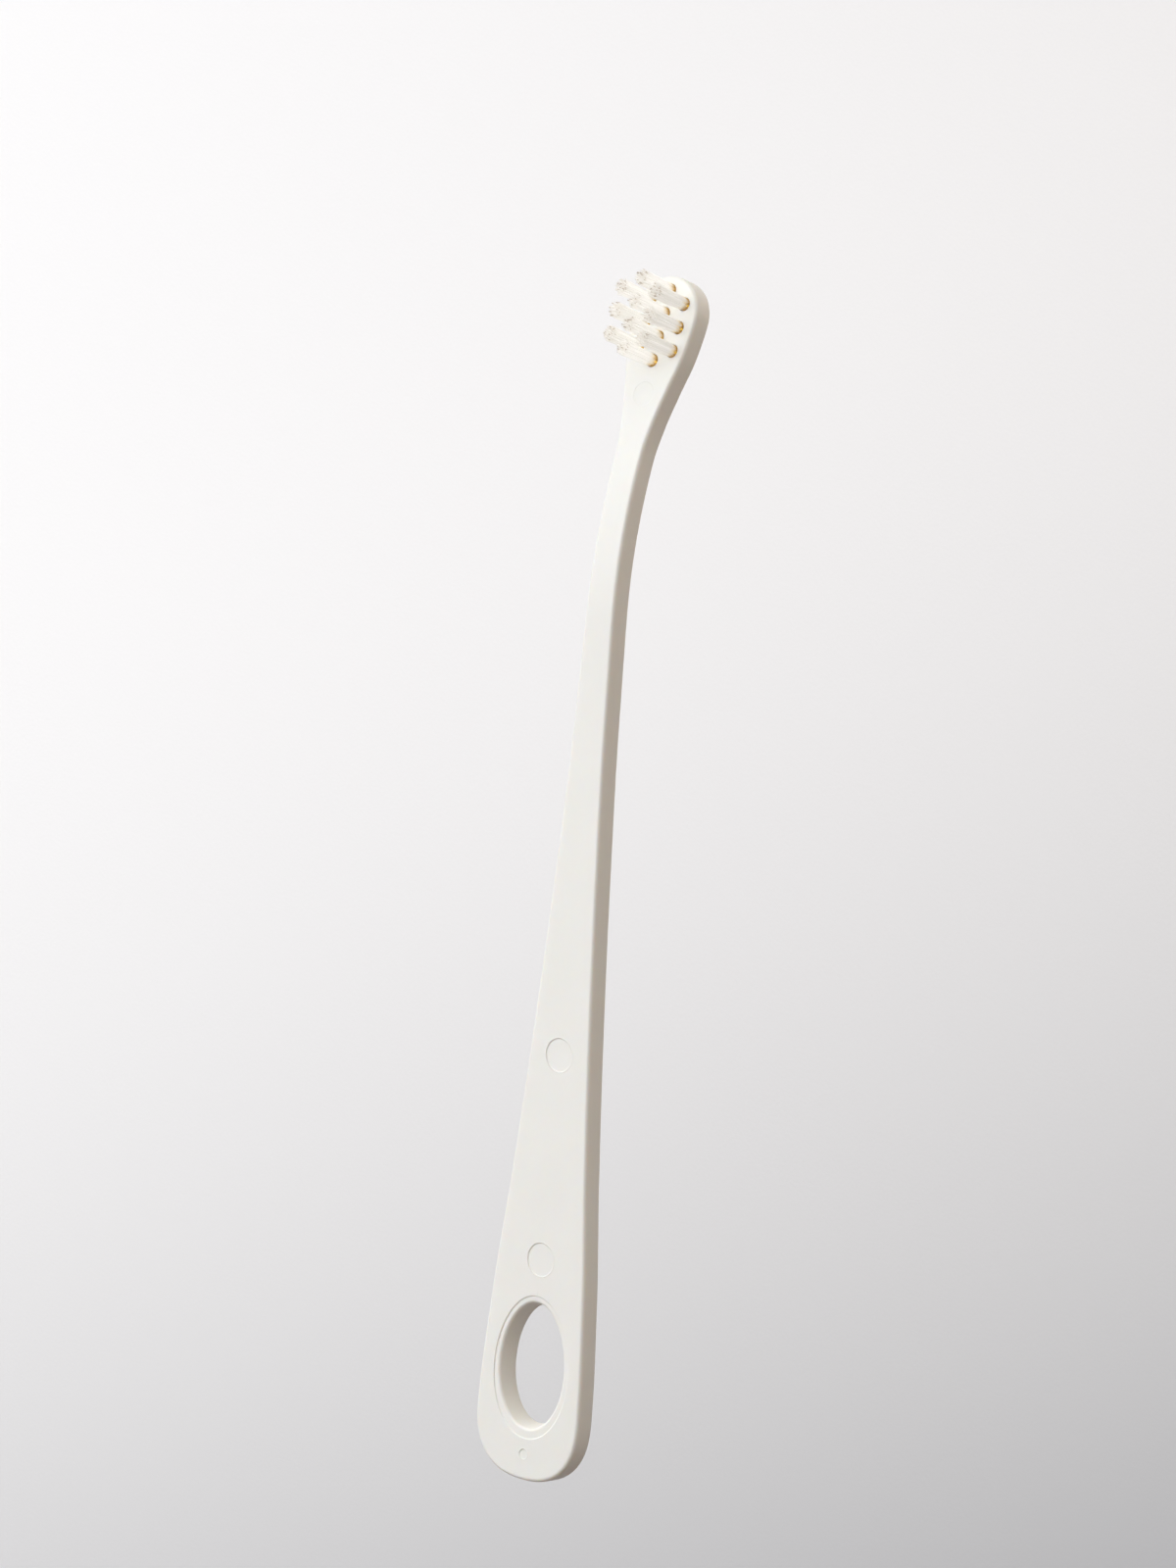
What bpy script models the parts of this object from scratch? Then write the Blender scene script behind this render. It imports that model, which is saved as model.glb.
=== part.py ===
"""Dog toothbrush, modelled lying on its back with the bristles up.

One moulded handle carries ten tufts of nylon bristle in three staggered columns. Each tuft is
folded round a brass anchor plate, which bites into both walls of its hole.

Lengths are in metres and angles in degrees. +X runs from the hanging end to the head, Y lies
across the handle and +Z points up. The handle is drawn in a frame of its own, with its front
face at z = 0, and that frame is tilted so that the head and the hanging end both rest on z = 0.
"""

import math
import random

import bmesh
import bpy
from mathutils import Matrix, Vector

# Plate that the handle is moulded as
plate_thickness = 0.0031
edge_radius = 0.0005
grip_length = 0.114
bend_length = 0.022
bend_angle = 15.0
flare_length = 0.01417

# Widths of its outline
end_width = 0.0175
end_round_length = 0.0089
end_roundness = 2.4
neck_width = 0.0045

# Hanging hole, an egg with its narrow end toward the head, tighter at the back by its draft
hole_length = 0.0167
hole_end_wall = 0.0070
hole_side_wall = 0.0034
hole_edge_radius = 0.0004
hole_draft = 0.0004
hole_narrowing_share = 0.05

# Shallow step round the hanging hole
step_depth = 0.00015
step_margin = 0.0010
step_end_margin = 0.0015

# Marks of the ejector pins
mark_depth = 0.0001
grip_mark_diameter = 0.0045
neck_mark_diameter = 0.0033
end_mark_diameter = 0.0014

# Tuft holes
tuft_hole_diameter = 0.0018
tuft_hole_floor = 0.0008
tuft_pitch = 0.00315
column_spacing = 0.0028
tip_rim = 0.00107
head_rim = 0.00158
last_row_rim = 0.0012

# Bristle
bristle_length = 0.0065
strand_diameter = 0.00016
tip_spread = 0.00026
tip_unevenness = 0.00015
tuft_top_depth = 0.0003
fold_thickness = 0.00045
strand_root = 0.0001

# Anchor plates
anchor_thickness = 0.0003
anchor_bite = 0.00015
anchor_top_depth = 0.00025
anchor_angle = -12.0

# Clearance between a piece and its seat, and overrun of a cutter past a face
fit_clearance = 0.00005
overrun = 0.001

# Tolerances of the mesh work
weld_distance = 0.000001
snap_distance = 0.00005
flat_angle = 0.1
sharp_angle = 35.0

# Shape of the taper from the widest place to the neck: share of the way, share of the width left
taper_shares = ((0.0, 1.0), (0.13, 0.87), (0.26, 0.64), (0.42, 0.41), (0.59, 0.218),
                (0.76, 0.078), (1.0, 0.0))
# Shape of the flare from the neck to the last row of tufts: share of the way, share of the gain
flare_shares = ((0.0, 0.0), (0.3, 0.17), (0.65, 0.566), (1.0, 1.0))
neck_place_share = 0.72
grip_mark_shares = (0.259, 0.498)
end_mark_share = 0.63
neck_mark_share = 0.57
# Half of the room that a strand takes beside its route, as a share of its diameter
strand_room_share = 0.75

# Counts
end_rows = 9
taper_rows = 15
bend_rows = 8
flare_rows = 10
pad_rows = 4
tip_rows = 9
edge_resolution = 2
hole_segments = 48
lip_rows = 3
round_segments = 20
mark_segments = 32
middle_tufts = 4
side_tufts = 3
strand_sides = 3
row_strands = (7, 6, 3)
strand_seed = 4

# Colours, roughness and metallic value of the materials
handle_finish = ((0.90, 0.88, 0.82, 1.0), 0.38, 0.0)
bristle_finish = ((0.86, 0.86, 0.84, 1.0), 0.35, 0.0)
anchor_finish = ((0.72, 0.50, 0.18, 1.0), 0.30, 1.0)

# Sizes that follow from the ones above
bend_radians = math.radians(bend_angle)
bend_radius = bend_length / bend_radians
bend_end = grip_length + bend_length
tuft_hole_radius = tuft_hole_diameter / 2
tuft_hole_depth = plate_thickness - tuft_hole_floor
first_tuft_from_tip = tip_rim + tuft_hole_radius
last_side_row = bend_end + flare_length
handle_length = last_side_row + (side_tufts - 0.5) * tuft_pitch + first_tuft_from_tip
head_radius = column_spacing + tuft_hole_radius + head_rim
head_centre = handle_length - head_radius
last_row_half_width = column_spacing + tuft_hole_radius + last_row_rim
hole_width = end_width - 2 * hole_side_wall
hole_centre = hole_end_wall + hole_length / 2
anchor_height = tuft_hole_depth - anchor_top_depth - fold_thickness - 2 * fit_clearance
anchor_width = tuft_hole_diameter + 2 * anchor_bite
tuft_radius = tuft_hole_radius - fit_clearance
slit_thickness = anchor_thickness + 2 * fit_clearance
slit_width = anchor_width + 2 * fit_clearance
strand_foot = -tuft_top_depth - strand_root
closing_height = tuft_hole_diameter


def clear_scene():
    """Remove every object of the open scene."""
    for old in list(bpy.data.objects):
        bpy.data.objects.remove(old, do_unlink=True)


def new_collection(name):
    """Add a collection to the scene."""
    collection = bpy.data.collections.new(name)
    bpy.context.scene.collection.children.link(collection)
    return collection


def new_material(name, finish):
    """Make a Principled material from a colour, a roughness and a metallic value."""
    colour, roughness, metallic = finish
    material = bpy.data.materials.new(name)
    material.use_nodes = True
    shader = material.node_tree.nodes["Principled BSDF"]
    shader.inputs["Base Color"].default_value = colour
    shader.inputs["Roughness"].default_value = roughness
    shader.inputs["Metallic"].default_value = metallic
    material.diffuse_color = colour
    return material


def new_empty(name, collection, parent=None):
    """Add an empty that carries a frame of its own."""
    empty = bpy.data.objects.new(name, None)
    collection.objects.link(empty)
    empty.parent = parent
    return empty


def mesh_from(bm, name):
    """Turn a bmesh into a mesh and free it."""
    mesh = bpy.data.meshes.new(name)
    bm.to_mesh(mesh)
    bm.free()
    return mesh


def new_object(name, mesh, collection, parent):
    """Add an object with the given mesh under a parent frame."""
    obj = bpy.data.objects.new(name, mesh)
    collection.objects.link(obj)
    obj.parent = parent
    return obj


def new_cutter(name, mesh, collection, parent):
    """Add an object that only cuts others."""
    cutter = new_object(name, mesh, collection, parent)
    cutter.hide_render = True
    cutter.display_type = "WIRE"
    return cutter


def add_boolean(obj, name, operation, operand):
    """Cut or join an object with another."""
    modifier = obj.modifiers.new(name, "BOOLEAN")
    modifier.operation = operation
    modifier.object = operand
    return modifier


def shade_round(mesh):
    """Shade a round piece smooth, with its sharp edges kept."""
    mesh.shade_smooth()
    mesh.set_sharp_from_angle(angle=math.radians(sharp_angle))


def welded_mesh(obj):
    """Mesh of an object as its modifiers or curve bevel leave it, welded and facing out."""
    bpy.context.view_layer.update()
    evaluated = obj.evaluated_get(bpy.context.evaluated_depsgraph_get())
    mesh = bpy.data.meshes.new_from_object(evaluated)
    bm = bmesh.new()
    bm.from_mesh(mesh)
    bmesh.ops.remove_doubles(bm, verts=bm.verts, dist=weld_distance)
    bmesh.ops.recalc_face_normals(bm, faces=bm.faces)
    bm.to_mesh(mesh)
    bm.free()
    return mesh


def smooth_through(stations, x):
    """Height at x of a smooth curve through the stations, which never overshoots them.

    Each stretch is a cubic. The slope at a station is the harmonic mean of the slopes of the
    chords beside it, and level at the ends and wherever those chords turn.
    """
    places = [station[0] for station in stations]
    heights = [station[1] for station in stations]
    chords = []
    for left in range(len(stations) - 1):
        rise = heights[left + 1] - heights[left]
        chords.append(rise / (places[left + 1] - places[left]))
    slopes = [0.0]
    for before, after in zip(chords, chords[1:]):
        turns = before * after <= 0
        slopes.append(0.0 if turns else 2 * before * after / (before + after))
    slopes.append(0.0)
    left = 0
    while left < len(chords) - 1 and x > places[left + 1]:
        left += 1
    run = places[left + 1] - places[left]
    t = min(max((x - places[left]) / run, 0.0), 1.0)
    rising = t * t * (3 - 2 * t)
    leaving = t * (1 - t) ** 2
    arriving = -t * t * (1 - t)
    bulge = run * (slopes[left] * leaving + slopes[left + 1] * arriving)
    return heights[left] * (1 - rising) + heights[left + 1] * rising + bulge


def outline_stations():
    """Places along the handle and half widths there, from the widest place to the head."""
    widest = end_width / 2
    neck = neck_width / 2
    neck_place = grip_length + bend_length * neck_place_share
    stations = []
    for way_share, width_share in taper_shares:
        place = end_round_length + (neck_place - end_round_length) * way_share
        stations.append((place, neck + (widest - neck) * width_share))
    for way_share, gain_share in flare_shares:
        gain = (last_row_half_width - neck) * gain_share
        stations.append((bend_end + flare_length * way_share, neck + gain))
    stations.append((head_centre, head_radius))
    return stations


def outline_rows():
    """Rows across the plate as pairs of place and half width, from end to tip.

    The hanging end is half a superellipse and the tip half a circle, both stepped by angle.
    Between them the rows are evenly spaced in each stretch of the handle.
    """
    power = 2 / end_roundness
    rows = []
    for step in range(end_rows):
        angle = math.pi / 2 * step / end_rows
        place = end_round_length * (1 - math.cos(angle) ** power)
        rows.append((place, end_width / 2 * math.sin(angle) ** power))
    stretches = ((end_round_length, grip_length, taper_rows), (grip_length, bend_end, bend_rows),
                 (bend_end, last_side_row, flare_rows), (last_side_row, head_centre, pad_rows))
    stations = outline_stations()
    for start, stop, count in stretches:
        for step in range(count):
            place = start + (stop - start) * step / count
            rows.append((place, smooth_through(stations, place)))
    for step in range(tip_rows + 1):
        angle = math.pi / 2 * step / tip_rows
        half = head_radius * math.cos(angle) if step < tip_rows else 0.0
        rows.append((head_centre + head_radius * math.sin(angle), half))
    return rows


def bent_point(place, across, depth):
    """Point of the plate at a distance along its front face, across it and up from that face.

    The grip is flat, the bend is an arc that turns down, and the head is flat again.
    """
    turned = min(max(place - grip_length, 0.0), bend_length) / bend_radius
    straight = min(place, grip_length)
    beyond = max(place - bend_end, 0.0)
    x = straight + bend_radius * math.sin(turned) + beyond * math.cos(turned)
    z = -bend_radius * (1 - math.cos(turned)) - beyond * math.sin(turned)
    return Vector((x + depth * math.sin(turned), across, z + depth * math.cos(turned)))


def flat_plate(collection):
    """Flat plate in the handle's outline, with all its edges rounded, as a curve object."""
    rows = outline_rows()
    outline = rows + [(place, -half) for place, half in reversed(rows[1:-1])]
    curve = bpy.data.curves.new("plate_outline", "CURVE")
    curve.dimensions = "2D"
    curve.fill_mode = "BOTH"
    curve.extrude = plate_thickness / 2 - edge_radius
    curve.bevel_depth = edge_radius
    curve.bevel_resolution = edge_resolution
    curve.offset = -edge_radius
    spline = curve.splines.new("POLY")
    spline.points.add(len(outline) - 1)
    for point, (place, across) in zip(spline.points, outline):
        point.co = (place, across, 0.0, 1.0)
    spline.use_cyclic_u = True
    return new_object("flat_plate", curve, collection, None)


def handle_mesh(collection):
    """Plate with one face each side, cut across at even steps along the neck and bent there."""
    plate = flat_plate(collection)
    mesh = welded_mesh(plate)
    bpy.data.objects.remove(plate)
    bm = bmesh.new()
    bm.from_mesh(mesh)
    bmesh.ops.dissolve_limit(bm, angle_limit=math.radians(flat_angle), verts=bm.verts, edges=bm.edges)
    for step in range(bend_rows + 1):
        place = grip_length + bend_length * step / bend_rows
        everything = bm.verts[:] + bm.edges[:] + bm.faces[:]
        bmesh.ops.bisect_plane(bm, geom=everything, dist=snap_distance, plane_co=(place, 0.0, 0.0),
                               plane_no=(1.0, 0.0, 0.0))
    for vert in bm.verts:
        vert.co = bent_point(vert.co.x, vert.co.y, vert.co.z - plate_thickness / 2)
    bm.to_mesh(mesh)
    bm.free()
    mesh.name = "handle"
    return mesh


def egg_outline(length, width, centre, height):
    """Ring of points of an egg that narrows toward the head."""
    points = []
    for step in range(hole_segments):
        angle = 2 * math.pi * step / hole_segments
        narrowed = 1 - hole_narrowing_share * math.cos(angle)
        x = centre + length / 2 * math.cos(angle)
        y = width / 2 * math.sin(angle) * narrowed
        points.append(Vector((x, y, height)))
    return points


def stacked_mesh(outlines, name):
    """Closed solid through a stack of outlines that have as many points each."""
    bm = bmesh.new()
    rings = []
    for outline in outlines:
        count = len(outline)
        made = bmesh.ops.create_circle(bm, cap_ends=False, segments=count, radius=1.0)
        for vert, point in zip(made["verts"], outline):
            vert.co = point
        rings.append(made["verts"])
    for lower, upper in zip(rings, rings[1:]):
        edges = [edge for ring in (lower, upper) for edge in bm.edges if {*edge.verts} <= {*ring}]
        bmesh.ops.bridge_loops(bm, edges=edges)
    bmesh.ops.contextual_create(bm, geom=rings[0])
    bmesh.ops.contextual_create(bm, geom=rings[-1])
    bmesh.ops.recalc_face_normals(bm, faces=bm.faces)
    return mesh_from(bm, name)


def hole_mesh():
    """Hanging hole, with a lip at each face that rounds its edge.

    A lip is a quarter circle in steps, and goes on outward at a slant past the face.
    """
    front = -step_depth
    back = -plate_thickness
    outside = hole_edge_radius + overrun
    lip = []
    for step in range(1, lip_rows + 1):
        angle = math.pi / 2 * step / lip_rows
        depth = hole_edge_radius * (1 - math.cos(angle))
        lip.append((depth, hole_edge_radius * (1 - math.sin(angle))))
    levels = [(back - overrun, outside - hole_draft)]
    levels += [(back + depth, growth - hole_draft) for depth, growth in lip]
    levels += [(front - depth, growth) for depth, growth in reversed(lip)]
    levels.append((front + overrun, outside))
    outlines = []
    for height, growth in levels:
        length = hole_length + 2 * growth
        width = hole_width + 2 * growth
        outlines.append(egg_outline(length, width, hole_centre, height))
    return stacked_mesh(outlines, "hanging_hole")


def step_mesh():
    """Shallow step round the hanging hole, wider toward the end of the handle."""
    length = hole_length + step_margin + step_end_margin
    width = hole_width + 2 * step_margin
    centre = hole_centre + (step_margin - step_end_margin) / 2
    outlines = [egg_outline(length, width, centre, height) for height in (-step_depth, overrun)]
    return stacked_mesh(outlines, "hole_step")


def add_cylinder(bm, radius, bottom, top, place, segments):
    """Add a closed upright cylinder at a place on the front face."""
    middle = Vector((place[0], place[1], (bottom + top) / 2))
    bmesh.ops.create_cone(bm, cap_ends=True, segments=segments, radius1=radius, radius2=radius,
                          depth=top - bottom, matrix=Matrix.Translation(middle))


def add_box(bm, size, bottom, place, turn):
    """Add a closed box that stands at a place, turned about its upright axis."""
    middle = Vector((place[0], place[1], bottom + size[2] / 2))
    scale = Matrix.Diagonal((*size, 1.0))
    turned = Matrix.Rotation(math.radians(turn), 4, "Z")
    bmesh.ops.create_cube(bm, size=1.0, matrix=Matrix.Translation(middle) @ turned @ scale)


def tuft_places():
    """Names and places of the tufts on the head, measured from the end of the bend."""
    head_run = handle_length - bend_end
    places = {}
    for row in range(middle_tufts):
        along = head_run - first_tuft_from_tip - row * tuft_pitch
        places[f"middle_{row + 1}"] = (along, 0.0)
    for name, across in (("left", column_spacing), ("right", -column_spacing)):
        for row in range(side_tufts):
            along = head_run - first_tuft_from_tip - (row + 0.5) * tuft_pitch
            places[f"{name}_{row + 1}"] = (along, across)
    return places


def tuft_hole_mesh():
    """Ten blind holes, open at the front of the head."""
    bm = bmesh.new()
    for place in tuft_places().values():
        add_cylinder(bm, tuft_hole_radius, -tuft_hole_depth, overrun, place, round_segments)
    return mesh_from(bm, "tuft_holes")


def anchor_slit_mesh():
    """Slits that the anchors cut into the walls of their holes as they are driven in."""
    deep = anchor_top_depth + anchor_height + fit_clearance
    size = (slit_thickness, slit_width, deep + overrun)
    bm = bmesh.new()
    for place in tuft_places().values():
        add_box(bm, size, -deep, place, anchor_angle)
    return mesh_from(bm, "anchor_slits")


def grip_mark_mesh():
    """Ejector-pin marks on the straight part of the handle."""
    bm = bmesh.new()
    end_mark = (hole_end_wall - step_end_margin) * end_mark_share
    marks = [(grip_length * share, grip_mark_diameter) for share in grip_mark_shares]
    marks.append((end_mark, end_mark_diameter))
    for place, diameter in marks:
        add_cylinder(bm, diameter / 2, -mark_depth, overrun, (place, 0.0), mark_segments)
    return mesh_from(bm, "grip_marks")


def neck_mark_mesh():
    """Ejector-pin mark between the neck and the tufts."""
    bm = bmesh.new()
    place = (flare_length * neck_mark_share, 0.0)
    add_cylinder(bm, neck_mark_diameter / 2, -mark_depth, overrun, place, mark_segments)
    return mesh_from(bm, "neck_mark")


def make_handle(parts, cutters, rest_frame, head_frame, material):
    """Moulded handle: the bent plate with its holes cut."""
    handle = new_object("handle", handle_mesh(cutters), parts, rest_frame)
    handle.data.materials.append(material)
    shade_round(handle.data)
    grip_cuts = (step_mesh(), hole_mesh(), grip_mark_mesh())
    head_cuts = (neck_mark_mesh(), tuft_hole_mesh(), anchor_slit_mesh())
    for frame, cuts in ((rest_frame, grip_cuts), (head_frame, head_cuts)):
        for mesh in cuts:
            cutter = new_cutter(f"{mesh.name}_cutter", mesh, cutters, frame)
            add_boolean(handle, mesh.name, "DIFFERENCE", cutter)


def strand_routes():
    """Routes of a tuft's strands, as a list of three points for each.

    The strands stand in rows beside the anchor. Above the hole the rows have closed over it, and
    toward the tips they spread a little. Each tip ends a little higher or lower than the next.
    """
    chance = random.Random(strand_seed)
    room = strand_diameter * strand_room_share
    first_row = slit_thickness / 2 + fit_clearance + room
    row_gap = (tuft_radius - first_row - room) / (len(row_strands) - 1)
    strand_gap = (2 * tuft_radius - 3 * room) / (row_strands[0] - 1)
    routes = []
    for side in (-1, 1):
        for row, count in enumerate(row_strands):
            for strand in range(count):
                across = side * (row + 0.5)
                along = strand - (count - 1) / 2
                top = bristle_length + chance.uniform(-tip_unevenness, tip_unevenness)
                foot = (side * (first_row + row * row_gap), along * strand_gap, strand_foot)
                waist = (across * row_gap, along * strand_gap, closing_height)
                routes.append((foot, waist, (across * tip_spread, along * tip_spread, top)))
    return routes


def strand_section(collection):
    """Three-cornered section that the strands are drawn with."""
    curve = bpy.data.curves.new("strand_section", "CURVE")
    curve.dimensions = "2D"
    spline = curve.splines.new("POLY")
    spline.points.add(strand_sides - 1)
    radius = strand_diameter / 2
    for side, point in enumerate(spline.points):
        angle = 2 * math.pi * side / strand_sides
        point.co = (radius * math.cos(angle), radius * math.sin(angle), 0.0, 1.0)
    spline.use_cyclic_u = True
    return new_object("strand_section", curve, collection, None)


def strands_object(collection):
    """Strands of a tuft, each swept along its own route."""
    section = strand_section(collection)
    curve = bpy.data.curves.new("strands", "CURVE")
    curve.dimensions = "3D"
    curve.bevel_mode = "OBJECT"
    curve.bevel_object = section
    curve.use_fill_caps = True
    for route in strand_routes():
        spline = curve.splines.new("POLY")
        spline.points.add(len(route) - 1)
        for point, place in zip(spline.points, route):
            point.co = (*place, 1.0)
    wires = new_object("strand_wires", curve, collection, None)
    strands = new_cutter("strands", welded_mesh(wires), collection, None)
    bpy.data.objects.remove(wires)
    bpy.data.objects.remove(section)
    return strands


def tuft_mesh(cutters):
    """Tuft with its strands fused to the folded foot that fills the hole round the anchor."""
    foot_bottom = -tuft_hole_depth + fit_clearance
    bm = bmesh.new()
    add_cylinder(bm, tuft_radius, foot_bottom, -tuft_top_depth, (0.0, 0.0), round_segments)
    foot = new_object("tuft_foot", mesh_from(bm, "tuft_foot"), cutters, None)
    groove_bottom = foot_bottom + fold_thickness - fit_clearance
    groove_size = (slit_thickness, slit_width, overrun - groove_bottom)
    bm = bmesh.new()
    add_box(bm, groove_size, groove_bottom, (0.0, 0.0), 0.0)
    groove = new_cutter("anchor_groove", mesh_from(bm, "anchor_groove"), cutters, None)
    strands = strands_object(cutters)
    add_boolean(foot, "groove", "DIFFERENCE", groove)
    add_boolean(foot, "strands", "UNION", strands)
    mesh = welded_mesh(foot)
    mesh.name = "tuft"
    for helper in (foot, groove, strands):
        bpy.data.objects.remove(helper)
    return mesh


def anchor_mesh():
    """Brass plate that stands across a tuft hole."""
    bm = bmesh.new()
    size = (anchor_thickness, anchor_width, anchor_height)
    add_box(bm, size, -anchor_top_depth - anchor_height, (0.0, 0.0), 0.0)
    return mesh_from(bm, "anchor")


def make_tufts(parts, cutters, head_frame, bristle_material, anchor_material):
    """Ten tufts and their anchors, all turned alike on the head."""
    tuft = tuft_mesh(cutters)
    tuft.materials.append(bristle_material)
    anchor = anchor_mesh()
    anchor.materials.append(anchor_material)
    for name, place in tuft_places().items():
        for kind, mesh in (("tuft", tuft), ("anchor", anchor)):
            piece = new_object(f"{kind}_{name}", mesh, parts, head_frame)
            piece.location = (*place, 0.0)
            piece.rotation_euler.z = math.radians(anchor_angle)


def rest_tilt():
    """Angle that the handle rises by so that the head's back and the hanging end both rest.

    Both lower edges are rounded alike, so the ground is parallel to the line that joins the
    centres of the two roundings.
    """
    depth = plate_thickness - edge_radius
    end_centre = Vector((edge_radius, 0.0, -depth))
    tip_centre = bent_point(handle_length - edge_radius, 0.0, -depth)
    line = tip_centre - end_centre
    return math.atan2(-line.z, line.x)


def settle(rest_frame, parts):
    """Move the whole brush so that its footprint is centred and its lowest point is at zero."""
    bpy.context.view_layer.update()
    depsgraph = bpy.context.evaluated_depsgraph_get()
    corners = []
    for obj in parts.objects:
        if obj.type == "MESH":
            evaluated = obj.evaluated_get(depsgraph)
            corners += [evaluated.matrix_world @ vert.co for vert in evaluated.data.vertices]
    low = Vector([min(corner[axis] for corner in corners) for axis in range(3)])
    high = Vector([max(corner[axis] for corner in corners) for axis in range(3)])
    middle = (low + high) / 2
    rest_frame.location -= Vector((middle.x, middle.y, low.z))


def main():
    clear_scene()
    parts = new_collection("dog_toothbrush")
    cutters = new_collection("cutters")
    handle_material = new_material("cream_plastic", handle_finish)
    bristle_material = new_material("nylon_bristle", bristle_finish)
    anchor_material = new_material("brass", anchor_finish)
    rest_frame = new_empty("rest_frame", parts)
    rest_frame.rotation_euler.y = -rest_tilt()
    head_frame = new_empty("head_frame", parts, rest_frame)
    head_frame.location = bent_point(bend_end, 0.0, 0.0)
    head_frame.rotation_euler.y = bend_radians
    make_handle(parts, cutters, rest_frame, head_frame, handle_material)
    make_tufts(parts, cutters, head_frame, bristle_material, anchor_material)
    settle(rest_frame, parts)


main()
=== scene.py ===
import bmesh
import bpy
import numpy as np
from mathutils import Euler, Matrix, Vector


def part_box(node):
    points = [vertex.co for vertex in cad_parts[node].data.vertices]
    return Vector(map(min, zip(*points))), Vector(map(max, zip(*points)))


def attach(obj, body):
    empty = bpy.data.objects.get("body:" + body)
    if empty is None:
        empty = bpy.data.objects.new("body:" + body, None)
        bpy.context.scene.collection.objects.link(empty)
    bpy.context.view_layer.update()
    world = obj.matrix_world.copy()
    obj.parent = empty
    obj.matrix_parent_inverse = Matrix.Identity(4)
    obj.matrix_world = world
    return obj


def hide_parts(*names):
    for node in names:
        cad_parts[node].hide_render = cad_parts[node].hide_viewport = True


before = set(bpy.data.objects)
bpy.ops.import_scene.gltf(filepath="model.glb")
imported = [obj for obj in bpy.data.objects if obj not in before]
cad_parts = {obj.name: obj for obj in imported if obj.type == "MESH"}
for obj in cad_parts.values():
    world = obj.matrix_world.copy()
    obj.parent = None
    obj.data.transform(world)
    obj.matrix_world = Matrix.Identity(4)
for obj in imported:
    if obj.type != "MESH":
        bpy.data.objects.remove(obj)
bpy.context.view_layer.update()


# Camera. A long lens looks steeply down on the front of the brush from its right side, with the
# picture turned upright so that the head is at the top.
camera_place = (0.086058, -0.576008, 0.715471)      # m
camera_turn = (1.3191267, 39.3348067, -80.6709476)  # degrees
lens_length = 161.7421                              # mm
film_height = 36.0                                  # mm

lens = bpy.data.cameras.new("studio_camera")
lens.lens = lens_length
lens.sensor_fit = "VERTICAL"
lens.sensor_height = film_height
camera = bpy.data.objects.new("studio_camera", lens)
camera.location = camera_place
camera.rotation_euler = Euler(np.radians(camera_turn))
bpy.context.scene.collection.objects.link(camera)
bpy.context.scene.camera = camera
bpy.context.scene.view_settings.view_transform = "Standard"


# Light. One large soft box stands above the left side of the brush. The room is bright beyond the
# head and a dim warm brown beyond the other end, so the walls on the right and in the hole lie in a
# soft warm shade.
key_reach = 0.85                      # m from the middle of the brush
key_direction = (0.15, 0.60, 0.75)
key_width = 0.9                       # m
key_power = 5.8                       # W
key_colour = "#F2F9FF"
# The soft box is three lamps in one place, because clear bristles stop only part of its light. Each
# has its share of the power, and the columns of tufts that let it through.
key_parts = (("soft_box_passing", 0.55, ("left", "middle", "right")),
             ("soft_box_grazing", 0.2, ("left", "middle")),
             ("soft_box_stopped", 0.25, ()))
room_bright_side = (1.0, 0.0, 0.0)
room_bright = "#FFFFFD"
room_dim = "#5A3F25"
room_falloff = 2.0                    # power of the share that faces the bright side
room_strength = 1.26
backdrop_colour = "#E9E9EA"           # seen behind the brush in place of the room


def linear(hex_colour):
    """Linear RGBA of an sRGB hex colour: a channel c up to 0.04045 is divided by 12.92, and any
    other becomes ((c + 0.055) / 1.055) to the power 2.4."""
    channels = np.array([int(hex_colour[i:i + 2], 16) for i in (1, 3, 5)]) / 255
    lit = np.where(channels <= 0.04045, channels / 12.92, ((channels + 0.055) / 1.055) ** 2.4)
    return (*lit.tolist(), 1.0)


def add_node(tree, kind, inputs=None, **settings):
    """Adds a node to a tree with its settings, and gives each named input its value or link."""
    node = tree.nodes.new(kind)
    for key, value in settings.items():
        setattr(node, key, value)
    for key, value in (inputs or {}).items():
        if isinstance(value, bpy.types.NodeSocket):
            tree.links.new(value, node.inputs[key])
        else:
            node.inputs[key].default_value = value
    return node


def seen_by(tree, *rays):
    """Socket that is 1 for rays of the named kinds and 0 for all others: the highest of the light
    path's outputs for them."""
    path = add_node(tree, "ShaderNodeLightPath")
    seen = path.outputs[rays[0]]
    for ray in rays[1:]:
        either = add_node(tree, "ShaderNodeMath", {0: seen, 1: path.outputs[ray]}, operation="MAXIMUM")
        seen = either.outputs["Value"]
    return seen


toward_key = Vector(key_direction).normalized()
clear_columns = {}
for name, share, columns in key_parts:
    soft_box = bpy.data.lights.new(name, "AREA")
    soft_box.shape = "DISK"
    soft_box.size = key_width
    soft_box.energy = key_power * share
    soft_box.color = linear(key_colour)[:3]
    soft_box_object = bpy.data.objects.new(name, soft_box)
    soft_box_object.location = toward_key * key_reach
    soft_box_object.rotation_euler = toward_key.to_track_quat("Z", "Y").to_euler()
    bpy.context.scene.collection.objects.link(soft_box_object)
    clear_columns[name] = bpy.data.collections.new(f"clear_to_{name}")
    soft_box_object.light_linking.blocker_collection = clear_columns[name] if columns else None

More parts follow.
